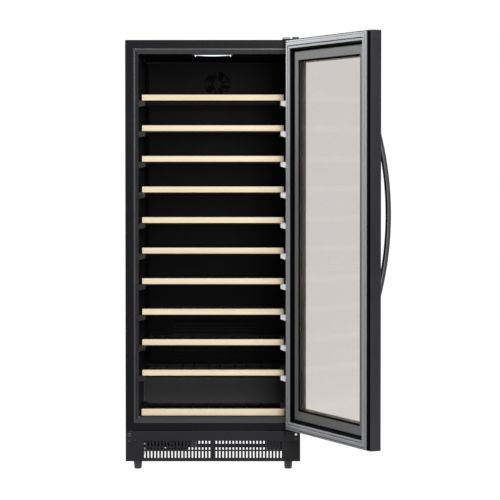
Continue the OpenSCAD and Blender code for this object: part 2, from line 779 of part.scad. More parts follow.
// Sliding frame of rack i: two rails, a front strip, cross rods and bottle wires.
module rack_frame(i) {
    back = rack_depth(i);
    lift = rack_lift(i);
    top = rack_z(i);
    rail_in = rail_x - rail_w;
    rod_end = rail_in - weld_gap;
    strip_y = board_y + board_t;
    wire_z = top - wire_drop + min(lift, 8);
    rod_z = top - rod_drop + min(lift, 8);
    color("#2a2a2d") {
        for (side = [0, 1]) mirror([side, 0, 0]) {
            along_y(rail_front(i), back) translate([rail_in, top + lift - rail_drop]) difference() {
                translate([0, -rail_h]) square([rail_w, rail_h]);
                translate([2, -rail_h + 1.6]) square([rail_w, rail_h - 3.2]);
            }
            if (i <= rack_count) rail_tip(i, 0, rail_x, tip_y + 1);
        }
        translate([-230, strip_y, wire_z - wire_r]) cube([460, 2, top - 3 - wire_z + wire_r]);
        for (y = [60 : 120 : back]) rod_x(-rod_end, rod_end, y, rod_z, rod_r);
        for (k = [0 : bottles_across - 1], side = [-1, 1])
            rod_y((k - (bottles_across - 1) / 2) * bottle_pitch + side * 20,
                strip_y + 2 + weld_gap, back, wire_z, wire_r);
        rod_x(-rod_end, rod_end, back - 6, wire_z, wire_r);
    }
}

outer_shell();
back_panel();
insulation();
inner_liner();
step_panel();
base_plate();
side_runners();
kick_grille();
hinge_top();
hinge_bottom();
hinge_screws();
lamp_housing();
lamp_lens();
duct_cover();
evaporator();
evaporator_fan_motor();
rack_rails();
condenser();
fan_shroud();
compressor();
drip_tray();
refrigerant_pipes();
control_box();
power_inlet();
door_frame();
door_liner();
gasket();
outer_pane();
inner_pane();
spacer();
handle();
hinge_bushes();
evaporator_fan();
condenser_fan();
foot(-1, foot_front_y);  // foot_front_left
foot(1, foot_front_y);  // foot_front_right
foot(-1, foot_rear_y);  // foot_rear_left
foot(1, foot_rear_y);  // foot_rear_right
rack_front(1);  // rack_front_01
rack_front(2);  // rack_front_02
rack_front(3);  // rack_front_03
rack_front(4);  // rack_front_04
rack_front(5);  // rack_front_05
rack_front(6);  // rack_front_06
rack_front(7);  // rack_front_07
rack_front(8);  // rack_front_08
rack_front(9);  // rack_front_09
rack_front(10);  // rack_front_10
rack_front(11);  // rack_front_11
rack_frame(1);  // rack_frame_01
rack_frame(2);  // rack_frame_02
rack_frame(3);  // rack_frame_03
rack_frame(4);  // rack_frame_04
rack_frame(5);  // rack_frame_05
rack_frame(6);  // rack_frame_06
rack_frame(7);  // rack_frame_07
rack_frame(8);  // rack_frame_08
rack_frame(9);  // rack_frame_09
rack_frame(10);  // rack_frame_10
rack_frame(11);  // rack_frame_11
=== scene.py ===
import json
import math

import bmesh
import bpy
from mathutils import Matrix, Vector

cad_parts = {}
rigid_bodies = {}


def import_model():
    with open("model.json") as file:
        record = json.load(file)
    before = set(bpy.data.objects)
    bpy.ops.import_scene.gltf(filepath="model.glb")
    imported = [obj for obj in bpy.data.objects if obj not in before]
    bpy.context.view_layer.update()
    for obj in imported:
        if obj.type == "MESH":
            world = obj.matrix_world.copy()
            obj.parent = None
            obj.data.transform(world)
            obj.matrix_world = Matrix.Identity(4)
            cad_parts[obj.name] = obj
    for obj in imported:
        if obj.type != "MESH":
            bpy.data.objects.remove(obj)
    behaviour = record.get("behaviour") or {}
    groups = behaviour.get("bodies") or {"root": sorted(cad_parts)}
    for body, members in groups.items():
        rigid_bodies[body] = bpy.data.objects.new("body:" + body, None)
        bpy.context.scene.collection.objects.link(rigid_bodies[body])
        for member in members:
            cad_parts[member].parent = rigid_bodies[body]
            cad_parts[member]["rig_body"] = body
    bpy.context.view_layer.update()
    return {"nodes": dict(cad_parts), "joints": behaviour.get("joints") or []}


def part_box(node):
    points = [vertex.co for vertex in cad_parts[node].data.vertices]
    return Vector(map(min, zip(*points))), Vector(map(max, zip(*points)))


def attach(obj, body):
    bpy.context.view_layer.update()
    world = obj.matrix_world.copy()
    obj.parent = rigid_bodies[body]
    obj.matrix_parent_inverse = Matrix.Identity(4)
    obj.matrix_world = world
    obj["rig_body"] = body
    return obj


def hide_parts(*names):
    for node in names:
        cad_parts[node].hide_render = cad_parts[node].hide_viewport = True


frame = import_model()
cad = frame["nodes"]

# ---- Camera ----
# A long lens on a stand in front of the cooler, a little right of its middle and about a metre
# up. It is tipped down a little, and a small shift brings the whole door into view.
lens_data = bpy.data.cameras.new("studio_camera")
lens_data.lens = 154.48
lens_data.sensor_width = 36
lens_data.shift_y = -0.0572
camera = bpy.data.objects.new("studio_camera", lens_data)
camera.location = (0.1264, -7.291, 1.0371)
camera.rotation_euler = (math.radians(88.5), 0, 0)
bpy.context.scene.collection.objects.link(camera)
bpy.context.scene.camera = camera

# ---- Steel wrap ----
# One folded sheet makes both sides and the top, with a narrow flange round the front that the
# door seals on. It is mild steel, powder coated black with a very fine satin grain.
wrap_low, wrap_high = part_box("outer_shell")
bead_lap = 0.001
# The mouth's lower and upper edges lie this much lower than those of the CAD.
sill_drop = 0.006
head_drop = 0.0045
mouth_low, mouth_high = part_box("inner_liner")
mouth_low = mouth_low + Vector((bead_lap, 0, bead_lap - sill_drop))
mouth_high = mouth_high - Vector((bead_lap, 0, bead_lap + head_drop))
kick_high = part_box("kick_grille")[1]
sheet = 0.0015
side_fold = 0.017
runner_in = 0.242
fold_z = kick_high.z + sheet
fold_depth = 0.012
top_bend_r = 0.003


def put_down():
    """Leaves edit mode and lets go of everything, so the next tool acts only on its own piece."""
    if bpy.context.object and bpy.context.object.mode == "EDIT":
        bpy.ops.object.mode_set(mode="OBJECT")
    bpy.ops.object.select_all(action="DESELECT")


def hold(piece):
    """Makes the piece the only one selected, in object mode."""
    put_down()
    piece.select_set(True)
    bpy.context.view_layer.objects.active = piece


def take_up(piece):
    """Takes the piece alone into edit mode with nothing picked."""
    hold(piece)
    bpy.ops.object.mode_set(mode="EDIT")
    bpy.ops.mesh.select_all(action="DESELECT")


def block(name, low, high):
    """A block between two corners, as the stock that a piece is cut from."""
    put_down()
    low = Vector(low)
    high = Vector(high)
    bpy.ops.mesh.primitive_cube_add(size=1, location=(low + high) / 2)
    piece = bpy.context.object
    piece.name = name
    piece.data.name = name
    piece.scale = high - low
    bpy.ops.object.transform_apply(location=True, rotation=True, scale=True)
    return piece


def pick_faces(test):
    """In edit mode, picks the faces whose middle and normal pass the test."""
    bpy.ops.mesh.select_all(action="DESELECT")
    bpy.context.tool_settings.mesh_select_mode = (False, False, True)
    mesh = bpy.context.object.data
    shape = bmesh.from_edit_mesh(mesh)
    for face in shape.faces:
        if test(face.calc_center_median(), face.normal):
            face.select_set(True)
    bmesh.update_edit_mesh(mesh)


def pick_edges(test):
    """In edit mode, picks the edges whose two ends pass the test."""
    bpy.ops.mesh.select_all(action="DESELECT")
    bpy.context.tool_settings.mesh_select_mode = (False, True, False)
    mesh = bpy.context.object.data
    shape = bmesh.from_edit_mesh(mesh)
    for edge in shape.edges:
        if test(edge.verts[0].co, edge.verts[1].co):
            edge.select_set(True)
    bmesh.update_edit_mesh(mesh)


def saw(place, normal):
    """In edit mode, cuts the whole piece along a plane and keeps both sides."""
    bpy.ops.mesh.select_all(action="SELECT")
    bpy.ops.mesh.bisect(plane_co=place, plane_no=normal)


def near(value, target, reach=0.0004):
    """True where two lengths agree within a small reach."""
    return abs(value - target) < reach


def smooth(piece, angle=35):
    """Rounds the shading over gentle bends and leaves real corners crisp."""
    hold(piece)
    bpy.ops.object.shade_smooth_by_angle(angle=math.radians(angle))


def soften(piece, width, segments=2, angle=35):
    """Rounds every sharp edge of a piece by a small radius, as paint and dies leave it."""
    smooth(piece, angle)
    bevel = piece.modifiers.new("soft_edges", "BEVEL")
    bevel.width = width
    bevel.segments = segments
    bevel.limit_method = "ANGLE"
    bevel.angle_limit = math.radians(angle)
    bevel.use_clamp_overlap = True
    bevel.harden_normals = True
    bpy.ops.object.modifier_apply(modifier=bevel.name)


def add_sheet_thickness(piece, thickness, offset):
    """Gives a folded surface the thickness of its sheet."""
    hold(piece)
    solid = piece.modifiers.new("sheet", "SOLIDIFY")
    solid.thickness = thickness
    solid.offset = offset
    solid.use_even_offset = True
    bpy.ops.object.modifier_apply(modifier=solid.name)


wrap = block("steel_wrap", wrap_low, wrap_high)
take_up(wrap)
for cut in (mouth_low.x, mouth_high.x, -runner_in, runner_in, side_fold - wrap_high.x,
            wrap_high.x - side_fold):
    saw((cut, 0, 0), (1, 0, 0))
for cut in (mouth_low.z, mouth_high.z, fold_z):
    saw((0, 0, cut), (0, 0, 1))


def open_side_of_wrap(centre, normal):
    """The faces cut away: the back, the mouth, and the bottom between the runners and folds."""
    if near(centre.y, wrap_high.y):
        return True
    if near(centre.z, wrap_low.z):
        return abs(centre.x) < runner_in
    if near(centre.y, wrap_low.y):
        in_mouth = mouth_low.z < centre.z < mouth_high.z and abs(centre.x) < mouth_high.x
        between_folds = abs(centre.x) < wrap_high.x - side_fold
        return in_mouth or (centre.z < fold_z and between_folds)
    return False


pick_faces(open_side_of_wrap)
bpy.ops.mesh.delete(type="FACE")
pick_edges(lambda a, b: near(a.z, fold_z) and near(b.z, fold_z) and near(a.y, 0)
           and near(b.y, 0) and abs(a.x + b.x) / 2 < wrap_high.x - side_fold)
bpy.ops.mesh.extrude_edges_move(TRANSFORM_OT_translate={"value": (0, fold_depth, 0)})
pick_edges(lambda a, b: near(a.z, wrap_high.z) and near(b.z, wrap_high.z)
           and near(abs(a.x), wrap_high.x) and near(abs(b.x), wrap_high.x))
bpy.ops.mesh.bevel(offset=top_bend_r, segments=4, affect="EDGES")
put_down()
add_sheet_thickness(wrap, sheet, -1)
soften(wrap, 0.0009, segments=3)


def new_group(name, inputs, outputs):
    """Starts a shader node group with named sockets."""
    group = bpy.data.node_groups.new(name, "ShaderNodeTree")
    for label, kind, default in inputs:
        socket = group.interface.new_socket(label, in_out="INPUT", socket_type=kind)
        socket.default_value = default
    for label, kind in outputs:
        group.interface.new_socket(label, in_out="OUTPUT", socket_type=kind)
    group.nodes.new("NodeGroupInput").location = (-900, 0)
    group.nodes.new("NodeGroupOutput").location = (900, 0)
    return group


def sums(tree, operation, first, second):
    """A Math node; each input is a number or another node's socket."""
    node = tree.nodes.new("ShaderNodeMath")
    node.operation = operation
    for socket, value in zip(node.inputs, (first, second)):
        if isinstance(value, (int, float)):
            socket.default_value = value
        else:
            tree.links.new(value, socket)
    return node.outputs[0]


grain_group = new_group(
    "fine_grain",
    [("Colour", "NodeSocketColor", (0.5, 0.5, 0.5, 1)),
     ("Colour Change", "NodeSocketFloat", 0.1),
     ("Roughness", "NodeSocketFloat", 0.5),
     ("Roughness Change", "NodeSocketFloat", 0.1),
     ("Grain Per Metre", "NodeSocketFloat", 1500.0),
     ("Cloud Per Metre", "NodeSocketFloat", 9.0)],
    [("Colour", "NodeSocketColor"),
     ("Roughness", "NodeSocketFloat"),
     ("Height", "NodeSocketFloat")])


def vary(group, swing):
    """Ends a group: a swing from -1 to 1 moves the colour's brightness and the roughness."""
    source = group.nodes["Group Input"]
    result = group.nodes["Group Output"]
    tone = sums(group, "MULTIPLY", swing, source.outputs["Colour Change"])
    value = sums(group, "ADD", tone, 1)
    shade = group.nodes.new("ShaderNodeHueSaturation")
    group.links.new(source.outputs["Colour"], shade.inputs["Color"])
    group.links.new(value, shade.inputs["Value"])
    gloss = sums(group, "MULTIPLY", swing, source.outputs["Roughness Change"])
    dull = sums(group, "ADD", gloss, source.outputs["Roughness"])
    group.links.new(shade.outputs["Color"], result.inputs["Colour"])
    group.links.new(dull, result.inputs["Roughness"])


def fill_grain_group(group):
    """Cast or sprayed grain: a tight even pebble, with slow clouds in its colour and gloss."""
    nodes = group.nodes
    links = group.links
    source = nodes["Group Input"]
    where = nodes.new("ShaderNodeTexCoord")
    pebble = nodes.new("ShaderNodeTexNoise")
    pebble.inputs["Detail"].default_value = 2
    pebble.inputs["Roughness"].default_value = 0.45
    cloud = nodes.new("ShaderNodeTexNoise")
    cloud.inputs["Detail"].default_value = 4
    cloud.inputs["Roughness"].default_value = 0.6
    links.new(where.outputs["Object"], pebble.inputs["Vector"])
    links.new(where.outputs["Object"], cloud.inputs["Vector"])
    links.new(source.outputs["Grain Per Metre"], pebble.inputs["Scale"])
    links.new(source.outputs["Cloud Per Metre"], cloud.inputs["Scale"])
    cloud_part = sums(group, "MULTIPLY", cloud.outputs["Fac"], 0.65)
    pebble_part = sums(group, "MULTIPLY", pebble.outputs["Fac"], 0.35)
    both = sums(group, "ADD", cloud_part, pebble_part)
    centred = sums(group, "SUBTRACT", both, 0.5)
    vary(group, sums(group, "MULTIPLY", centred, 2))
    links.new(pebble.outputs["Fac"], nodes["Group Output"].inputs["Height"])


fill_grain_group(grain_group)


def group_finish(name, group, metallic, settings):
    """A material whose colour and roughness come out of a node group with these settings."""
    finish = bpy.data.materials.new(name)
    finish.use_nodes = True
    tree = finish.node_tree
    shader = tree.nodes["Principled BSDF"]
    shader.inputs["Metallic"].default_value = metallic
    look = tree.nodes.new("ShaderNodeGroup")
    look.name = "Look"
    look.node_tree = group
    look.location = (-500, 0)
    for label, value in settings.items():
        look.inputs[label].default_value = value
    tree.links.new(look.outputs["Colour"], shader.inputs["Base Color"])
    tree.links.new(look.outputs["Roughness"], shader.inputs["Roughness"])
    return finish


def raise_grain(finish, depth):
    """Lets a finish's grain stand up by a depth, from the height that its group puts out."""
    tree = finish.node_tree
    bump = tree.nodes.new("ShaderNodeBump")
    bump.location = (-250, -300)
    bump.inputs["Distance"].default_value = depth
    tree.links.new(tree.nodes["Look"].outputs["Height"], bump.inputs["Height"])
    tree.links.new(bump.outputs["Normal"], tree.nodes["Principled BSDF"].inputs["Normal"])


def grained(name, colour, roughness, grain=1500.0, depth=0.00002, cloud=9.0,
            colour_change=0.12, roughness_change=0.08, metallic=0.0, specular=0.5):
    """A finish with cast or sprayed grain. Grain and cloud are counts per metre."""
    finish = group_finish(name, grain_group, metallic, {
        "Colour": (*colour, 1), "Colour Change": colour_change,
        "Roughness": roughness, "Roughness Change": roughness_change,
        "Grain Per Metre": grain, "Cloud Per Metre": cloud})
    shader = finish.node_tree.nodes["Principled BSDF"]
    shader.inputs["Specular IOR Level"].default_value = specular
    raise_grain(finish, depth)
    return finish


def finish_node(node, finish):
    """Puts a finish in every material slot of a CAD node; its mesh stays as it is."""
    for material_slot in cad[node].material_slots:
        material_slot.material = finish


def dress(piece, *finishes, node=None):
    """Gives a piece its finishes, with every face on the first one, and gives that one to the
    CAD node that the piece stands for too."""
    piece.data.materials.clear()
    for finish in finishes:
        piece.data.materials.append(finish)
    for face in piece.data.polygons:
        face.material_index = 0
    if node:
        finish_node(node, finishes[0])


black_coat = grained("black_powder_coat", (0.005, 0.0047, 0.0062), 0.42, grain=900,
                     depth=0.00003, colour_change=0.15, roughness_change=0.06, specular=0.08)
dress(wrap, black_coat, node="outer_shell")
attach(wrap, "cabinet")
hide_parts("outer_shell")

# ---- Back panel ----
# A flat steel sheet with four pressed ribs closes the foam at the back. It is coated a
# shade duller than the wrap and screwed into the folded edges of the sides.
back_coat = grained("back_panel_coat", (0.016, 0.016, 0.018), 0.55, grain=700, depth=0.00004,
                    colour_change=0.2, roughness_change=0.08)


def soft_copy(node, name, width, segments=2):
    """Copies a CAD node as one welded mesh and rounds its edges, then stands for the node."""
    put_down()
    piece = bpy.data.objects.new(name, cad[node].data.copy())
    piece.data.name = name
    bpy.context.scene.collection.objects.link(piece)
    take_up(piece)
    bpy.ops.mesh.select_all(action="SELECT")
    bpy.ops.mesh.remove_doubles(threshold=0.00001)
    bpy.ops.mesh.customdata_custom_splitnormals_clear()
    bpy.ops.mesh.select_all(action="SELECT")
    bpy.ops.mesh.dissolve_limited(angle_limit=math.radians(0.4))
    put_down()
    soften(piece, width, segments)
    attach(piece, cad[node]["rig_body"])
    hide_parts(node)
    return piece


back = soft_copy("back_panel", "back_sheet", 0.0004)
dress(back, back_coat, node="back_panel")

# ---- Foam ----
# Rigid polyurethane foam, blown between the wrap and the liner so that it sticks to both.
# Nothing of it shows once the cabinet is closed up.
foam_look = grained("blown_foam", (0.8, 0.72, 0.44), 0.9, grain=1100, depth=0.0003,
                    cloud=20, colour_change=0.15, roughness_change=0.05)
foam_body = soft_copy("insulation", "foam_body", 0.0002, segments=1)
sill_low = mouth_low.z + 0.001
sill_high = sill_low + 0.02
take_up(foam_body)
pick_edges(lambda a, b: near(a.y, sheet) and near(b.y, sheet) and near(a.z, b.z, 0.001)
           and sill_low < a.z < sill_high)
bpy.ops.transform.translate(value=(0, 0, -sill_drop))
put_down()
dress(foam_body, foam_look, node="insulation")

# ---- Inner liner ----
# A black plastic box, vacuum formed in one piece with rounded corners. Its walls slope out to
# the mouth, and its floor steps up at the back over the machine space.
cavity_half = 0.253
bead = 0.005
mouth_half = mouth_high.x - bead
mouth_top = mouth_high.z - bead
mouth_bottom = mouth_low.z + bead
mouth_run = 0.012
ceiling = 1.415
floor = 0.179
cavity_back = 0.528
step_foot = 0.318
step_head = 0.338
step_top = 0.285
liner_wall = 0.002
liner_corner_r = 0.006
mouth_flare = 0.014
rim_zone = 0.03
floor_zone = 0.3
ceiling_zone = 1.4

liner = block("mouth_liner", (-cavity_half, mouth_run, floor), (cavity_half, cavity_back, ceiling))
take_up(liner)
saw((0, step_foot, 0), (0, 1, 0))
saw((0, step_head, 0), (0, 1, 0))
pick_faces(lambda centre, normal: normal.z < -0.9 and centre.y > step_head)
bpy.ops.transform.translate(value=(0, 0, step_top - floor))
pick_faces(lambda centre, normal: near(centre.y, mouth_run))
bpy.ops.mesh.delete(type="FACE")
pick_edges(lambda a, b: near(a.y, mouth_run) and near(b.y, mouth_run))
bpy.ops.mesh.extrude_edges_move(TRANSFORM_OT_translate={"value": (0, -mouth_run, 0)})
mouth_stretch = (mouth_top - mouth_bottom) / (ceiling - floor)
mouth_middle = (mouth_bottom - mouth_stretch * floor) / (1 - mouth_stretch)
bpy.ops.transform.resize(value=(mouth_half / cavity_half, 1, mouth_stretch),
                         center_override=(0, 0, mouth_middle))


def liner_corner(a, b):
    """The edges where two walls of the liner meet, but not those of the rim."""
    if a.y < rim_zone and b.y < rim_zone:
        return False
    if near(a.y, cavity_back) and near(b.y, cavity_back):
        return True
    if near(abs(a.x), cavity_half, mouth_flare) and near(abs(b.x), cavity_half, mouth_flare):
        return max(a.z, b.z) < floor_zone or min(a.z, b.z) > ceiling_zone
    return near(a.y, b.y) and (near(a.y, step_foot) or near(a.y, step_head))


pick_edges(liner_corner)
bpy.ops.mesh.bevel(offset=liner_corner_r, segments=4, affect="EDGES")
put_down()
add_sheet_thickness(liner, liner_wall, 1)
soften(liner, 0.0006, segments=2)


def mitred_ring(name, section, half_x, half_z, middle_z):
    """Runs a section round an upright rectangle with mitred corners, as one closed skin. Each
    point of the section is the distance in from the edge and the distance forward, in mm."""
    put_down()
    points = [(inset / 1000, forward / 1000) for inset, forward in section]
    inset, forward = points[0]
    bpy.ops.mesh.primitive_plane_add(size=1, location=(0, -forward, middle_z),
                                     rotation=(math.radians(90), 0, 0))
    ring = bpy.context.object
    ring.name = name
    ring.data.name = name
    ring.scale = (2 * (half_x - inset), 2 * (half_z - inset), 1)
    bpy.ops.object.transform_apply(location=True, rotation=True, scale=True)
    take_up(ring)
    bpy.ops.mesh.select_all(action="SELECT")
    bpy.ops.mesh.delete(type="ONLY_FACE")
    bpy.ops.mesh.select_all(action="SELECT")
    for next_inset, next_forward in points[1:]:
        step = (0, forward - next_forward, 0)
        bpy.ops.mesh.extrude_edges_move(TRANSFORM_OT_translate={"value": step})
        across = (half_x - next_inset) / (half_x - inset)
        upward = (half_z - next_inset) / (half_z - inset)
        bpy.ops.transform.resize(value=(across, 1, upward), center_override=(0, 0, middle_z))
        inset = next_inset
        forward = next_forward
    bpy.ops.mesh.select_all(action="DESELECT")
    shape = bmesh.from_edit_mesh(ring.data)
    for edge in shape.edges:
        if edge.is_boundary:
            edge.select_set(True)
    bmesh.update_edit_mesh(ring.data)
    bpy.ops.mesh.bridge_edge_loops()
    bpy.ops.mesh.select_all(action="SELECT")
    bpy.ops.mesh.normals_make_consistent(inside=False)
    put_down()
    return ring


bead_section = [(0, 0), (0, 0.7), (0.4, 1.1), (1.2, 1.2), (4.4, 1.2), (5.4, 1.0), (5.9, 0.5),
                (6, -0.2), (6, -1.5), (1, -1.5), (1, 0)]
mouth_bead = mitred_ring("mouth_bead", bead_section, mouth_high.x + bead_lap,
                         (mouth_high.z - mouth_low.z) / 2 + bead_lap,
                         (mouth_high.z + mouth_low.z) / 2)
soften(mouth_bead, 0.0001, segments=1, angle=60)
liner_look = grained("liner_plastic", (0.011, 0.011, 0.0125), 0.42, grain=600, depth=0.00003,
                     cloud=6, colour_change=0.2, roughness_change=0.08, specular=0.15)
# The mouth's slope and bead take a lighter, glossier copy of the liner's plastic: a painted
# highlight where the mouth catches the light.
lit_mouth_look = grained("mouth_plastic_painted_light", (0.0165, 0.0165, 0.0185), 0.36, grain=600, depth=0.00002,
                     cloud=6, colour_change=0.15, roughness_change=0.06, specular=0.45)


def paint_faces(piece, index, test):
    """Gives the faces whose middle passes the test another of the piece's finishes."""
    for face in piece.data.polygons:
        if test(face.center):
            face.material_index = index


dress(liner, liner_look, lit_mouth_look, node="inner_liner")
dress(mouth_bead, lit_mouth_look)
slope_end = mouth_run - 0.001
# The faces of the mouth's slope get the lighter copy, as painted highlight.
paint_faces(liner, 1, lambda place: place.y < slope_end)
for formed in (liner, mouth_bead):
    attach(formed, "cabinet")
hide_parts("inner_liner")

# ---- Sheets and runners of the base ----
# Zinc-coated steel closes the foam above the machine space, and runs along both sides as
# channels with weld nuts for the feet. The tray under the compressor is painted black.
spangle = grained("galvanised_sheet", (0.42, 0.43, 0.45), 0.42, grain=260, depth=0.00002,
                  cloud=60, colour_change=0.28, roughness_change=0.16, metallic=0.9)
tray_paint = grained("tray_paint", (0.01, 0.01, 0.011), 0.55, grain=500, depth=0.00004,
                     cloud=15, colour_change=0.25, specular=0.25)
for node, name, look, slot in (("step_panel", "step_sheet", spangle, "galvanised"),
                               ("side_runners", "foot_runners", spangle, "galvanised"),
                               ("base_plate", "compressor_tray", tray_paint, "black_paint")):
    base_sheet = soft_copy(node, name, 0.0003)
    dress(base_sheet, look, node=node)

# ---- Kick plate ----
# A slotted steel plate across the front of the machine space lets the condenser's air
# through. It is pressed from sheet and coated black like the wrap, a touch more matt.
kick_coat = grained("kick_plate_coat", (0.0095, 0.0092, 0.011), 0.5, grain=900, depth=0.00003,
                    colour_change=0.15, roughness_change=0.06, specular=0.16)
kick = soft_copy("kick_grille", "kick_plate", 0.0005)
dress(kick, kick_coat, node="kick_grille")

# ---- Hinges ----
# Steel plates at the top and bottom, painted black, carry the door on two pins. The pins and
# washer are zinc plated; the upper plate has a cast zinc block and a plastic cap on it.
zinc_plate = grained("hinge_plating", (0.55, 0.56, 0.58), 0.3, grain=1800, depth=0.00001,
                     cloud=40, colour_change=0.08, roughness_change=0.1, metallic=1.0)
bracket_coat = grained("bracket_paint", (0.0085, 0.0085, 0.0098), 0.36, grain=1200, depth=0.00002,
                       colour_change=0.15, specular=0.2)
cap_plastic = grained("cap_plastic", (0.012, 0.012, 0.0135), 0.38, grain=1400, depth=0.00002)
cast_zinc = grained("cast_zinc", (0.14, 0.14, 0.145), 0.45, grain=1500, depth=0.00002,
                    cloud=40, colour_change=0.1, roughness_change=0.1, metallic=1.0)
hinge = next(joint for joint in frame["joints"] if joint["name"] == "door_hinge")
pin = Vector(hinge["pos_m"])
cap_reach = 0.0115
# The cap is this much lower than the CAD's, and only the faces by its top edge move.
cap_drop = 0.0035
cap_edge = 0.0015
plate_top = wrap_high.z + 0.0031
plate_bottom = wrap_high.z - 0.0005
washer_reach = 0.0085
above_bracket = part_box("door_frame")[0].z - 0.0023
plug_face = -0.00395
left_plug_top = 0.108
right_plug_top = 0.112


def from_pin(place):
    """How far a place is from the line of the hinge pins."""
    return math.hypot(place.x - pin.x, place.y - pin.y)


upper_hinge = soft_copy("hinge_top", "upper_hinge", 0.0004)
cap_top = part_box("hinge_top")[1].z
take_up(upper_hinge)
pick_faces(lambda centre, normal: centre.z > cap_top - cap_edge and from_pin(centre) < cap_reach)
bpy.ops.transform.translate(value=(0, 0, -cap_drop))
put_down()
dress(upper_hinge, bracket_coat, cap_plastic, cast_zinc, zinc_plate, node="hinge_top")
paint_faces(upper_hinge, 1, lambda place: place.z > plate_top and from_pin(place) < cap_reach)
paint_faces(upper_hinge, 2, lambda place: place.z > plate_top and from_pin(place) > cap_reach)
paint_faces(upper_hinge, 3, lambda place: place.z < plate_bottom)

lower_hinge = soft_copy("hinge_bottom", "lower_hinge", 0.0004)
dress(lower_hinge, bracket_coat, zinc_plate, node="hinge_bottom")
paint_faces(lower_hinge, 1,
            lambda place: place.z > above_bracket and from_pin(place) < washer_reach)

screws = soft_copy("hinge_screws", "hinge_screws_and_plugs", 0.0004, segments=3)
dress(screws, zinc_plate, cap_plastic, node="hinge_screws")
paint_faces(screws, 1,
            lambda place: place.x < 0 and (place.z < left_plug_top or place.y < plug_face))
paint_faces(screws, 1, lambda place: place.x > 0 and place.z < right_plug_top)

# ---- Ceiling lamp ----
# A black plastic rim clips into the liner's ceiling round a strip of white lamps, under a
# frosted cover that spreads the light. The cover is moulded deepest in its middle.
lamp_rim = soft_copy("lamp_housing", "lamp_rim", 0.0005)
rim_plastic = grained("rim_plastic", (0.012, 0.012, 0.0135), 0.35, grain=1400, depth=0.00002)
dress(lamp_rim, rim_plastic, node="lamp_housing")

lens = soft_copy("lamp_lens", "lamp_cover", 0.0004)
lens_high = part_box("lamp_lens")[1]
half_stations = 8
# The cover's depth as a share of the CAD's, in its middle and lost toward its ends.
middle_depth = 0.62
end_loss = 0.38
cut_reach = 0.0006
take_up(lens)
stations = [step / half_stations * lens_high.x for step in range(-half_stations, half_stations + 1)]
for station in stations[1:-1]:
    saw((station, 0, 0), (1, 0, 0))
for station in stations:
    fullness = middle_depth - end_loss * (station / lens_high.x) ** 2
    pick_edges(lambda a, b: near(a.x, station, cut_reach) and near(b.x, station, cut_reach))
    bpy.ops.transform.resize(value=(1, 1, fullness), center_override=(0, 0, lens_high.z))
put_down()
frosted = grained("frosted_cover", (0.86, 0.9, 0.96), 0.35, grain=900, depth=0.00005,
                  cloud=30, colour_change=0.06, roughness_change=0.1)
frosted_shader = frosted.node_tree.nodes["Principled BSDF"]
frosted_shader.inputs["Emission Color"].default_value = (0.86, 0.93, 1, 1)
frosted_shader.inputs["Emission Strength"].default_value = 0.9
dress(lens, frosted, node="lamp_lens")

# ---- Cooling inside the cabinet ----
# A moulded black cover stands before the finned aluminium coil, and a small fan draws the air
# up behind it. Steel channels screwed to the side walls carry the racks. Those on the right are
# plain steel; those on the left are the same steel drawn dark, as painted shade.
# The cover is black plastic, drawn darker than the liner as painted shade at the back of the
# cabinet.
shaded_cover_look = grained("duct_cover_painted_shade", (0.0016, 0.0016, 0.0021), 0.42, grain=1000,
                     depth=0.00003, colour_change=0.15, specular=0.05)
cover = soft_copy("duct_cover", "duct_cover_shell", 0.0006)
dress(cover, shaded_cover_look, node="duct_cover")

fin_look = grained("fin_aluminium", (0.6, 0.61, 0.63), 0.35, grain=900, depth=0.00001,
                   cloud=30, colour_change=0.12, roughness_change=0.12, metallic=1.0)
coil = soft_copy("evaporator", "evaporator_coil", 0.0002)
dress(coil, fin_look, node="evaporator")

fan_plastic = grained("fan_plastic", (0.003, 0.003, 0.0036), 0.42, grain=1200, depth=0.00002,
                      colour_change=0.15, specular=0.1)
for node, name in (("evaporator_fan_motor", "duct_fan_motor"), ("evaporator_fan", "duct_fan_rotor"),
                   ("condenser_fan", "condenser_fan_rotor_blades")):
    fan_part = soft_copy(node, name, 0.0003)
    dress(fan_part, fan_plastic, node=node)

rail_look = grained("rail_steel", (0.5, 0.5, 0.51), 0.42, grain=1500, depth=0.00001,
                    cloud=25, colour_change=0.1, roughness_change=0.08, metallic=1.0)
# The left channels' dark copy of the steel is painted shade: they face away from the light.
shaded_rail_look = grained("rail_steel_painted_shade", (0.011, 0.0107, 0.01), 0.4, grain=1200, depth=0.00002,
                         colour_change=0.12, specular=0.25)
rails = soft_copy("rack_rails", "rack_channels", 0.0003)
dress(rails, rail_look, shaded_rail_look, node="rack_rails")
# The faces on the left get the painted shade.
paint_faces(rails, 1, lambda place: place.x < 0)

# ---- Machine space ----
# Behind the kick plate sit the black finned condenser and its fan, the welded compressor pot
# with its drip tray, copper pipes, the controller's box and the mains inlet.
condenser_look = grained("condenser_paint", (0.02, 0.02, 0.022), 0.5, grain=900, depth=0.00002,
                         colour_change=0.2, specular=0.4)
condenser = soft_copy("condenser", "condenser_coil", 0.0002)
dress(condenser, condenser_look, node="condenser")

shroud = soft_copy("fan_shroud", "fan_frame", 0.0006)
dress(shroud, fan_plastic, node="fan_shroud")

pot_paint = grained("compressor_enamel", (0.012, 0.012, 0.013), 0.3, grain=500, depth=0.00005,
                    colour_change=0.2, roughness_change=0.08)
compressor = soft_copy("compressor", "compressor_pot", 0.0006)
dress(compressor, pot_paint, node="compressor")

tray_plastic = grained("tray_plastic", (0.025, 0.025, 0.028), 0.45, grain=1000, depth=0.00003)
for node, name in (("drip_tray", "drip_pan"), ("control_box", "control_case"),
                   ("power_inlet", "mains_inlet")):
    moulded = soft_copy(node, name, 0.0008, segments=3)
    dress(moulded, tray_plastic, node=node)

